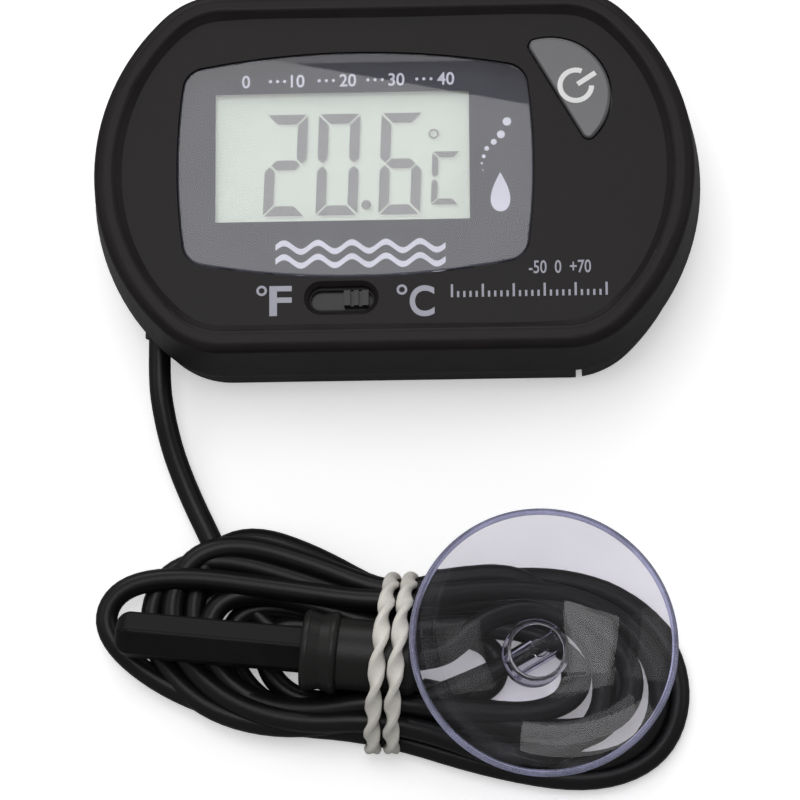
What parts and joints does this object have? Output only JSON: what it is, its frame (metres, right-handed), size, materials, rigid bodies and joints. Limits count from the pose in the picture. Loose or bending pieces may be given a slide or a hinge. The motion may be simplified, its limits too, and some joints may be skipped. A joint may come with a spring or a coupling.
{
  "type": "digital aquarium thermometer",
  "caption": "Small two-shell digital thermometer with a display window, a power key, a unit slider, a battery door, a cabled probe tied in a hank and a suction cup.",
  "frame": {"origin": "centre of the flat back face of the housing, which lies on the table", "axes": "+Z out of the display, +Y towards the top of the display, +X to the right of the display"},
  "size_m": [0.06, 0.0785, 0.015],
  "materials": {
    "housing": "fine matt texture",
    "door": "fine matt texture",
    "lens": "clear, polished",
    "print": "dark blue-grey print behind the lens",
    "key": "matt grey",
    "slider": "matt",
    "display_glass": "clear",
    "display_film": "silvery film",
    "connector_rubber": "striped rubber",
    "holder": "moulded",
    "board": "green solder mask",
    "resin": "glossy resin",
    "component": "matt",
    "switch_body": "moulded",
    "steel": "bright",
    "cell": "nickel plated",
    "spring_metal": "plated spring strip",
    "cable": "smooth, slightly glossy",
    "lead": "insulation",
    "tie": "twisted band",
    "probe": "satin",
    "probe_rubber": "matt",
    "cup": "clear, soft"
  },
  "bodies": {
    "root": {"front_shell": "housing", "back_shell": "housing", "case_screws": "steel", "window_lens": "lens", "window_mask": "print", "lcd_rear_glass": "display_glass", "lcd_front_glass": "display_glass", "lcd_polarizer": "display_film", "lcd_reflector": "display_film", "lcd_holder": "holder", "zebra_strip_upper": "connector_rubber", "zebra_strip_lower": "connector_rubber", "circuit_board": "board", "controller_chip": "resin", "timing_crystal": "steel", "chip_resistors": "component", "chip_capacitors": "component", "board_screws": "steel", "power_switch_case": "switch_body", "unit_switch_case": "steel", "button_cell_upper": "cell", "button_cell_lower": "cell", "battery_holder": "holder", "battery_positive_contact": "spring_metal", "battery_negative_contact": "spring_metal", "cable_gland": "probe_rubber", "probe_cable": "cable", "sensor_leads": "lead", "cable_hank": "cable", "cable_tie": "tie", "probe_capsule": "probe", "probe_sleeve": "probe_rubber", "thermistor_bead": "resin", "probe_potting": "resin"},
    "power_key": {"power_button": "key", "power_switch_plunger": "switch_body"},
    "unit_slider": {"unit_slide_knob": "slider", "unit_switch_slider": "slider"},
    "battery_cover": {"battery_door": "door", "battery_bridge_contact": "spring_metal"},
    "suction_cup_body": {"suction_cup": "cup"}
  },
  "joints": [
    {"name": "power_key_press", "type": "slide", "parent": "root", "child": "power_key", "axis": [0, 0, -1], "range_m": [0, 0.0004], "stiffness_N_per_m": 600},
    {"name": "unit_slider_shift", "type": "slide", "parent": "root", "child": "unit_slider", "axis": [-1, 0, 0], "range_m": [0, 0.002]},
    {"name": "battery_door_slide", "type": "slide", "parent": "root", "child": "battery_cover", "axis": [1, 0, 0], "range_m": [0, 0.014]},
    {"name": "suction_cup_lift", "type": "slide", "parent": "root", "child": "suction_cup_body", "axis": [0, 0, 1], "range_m": [0, 0.03]}
  ]
}
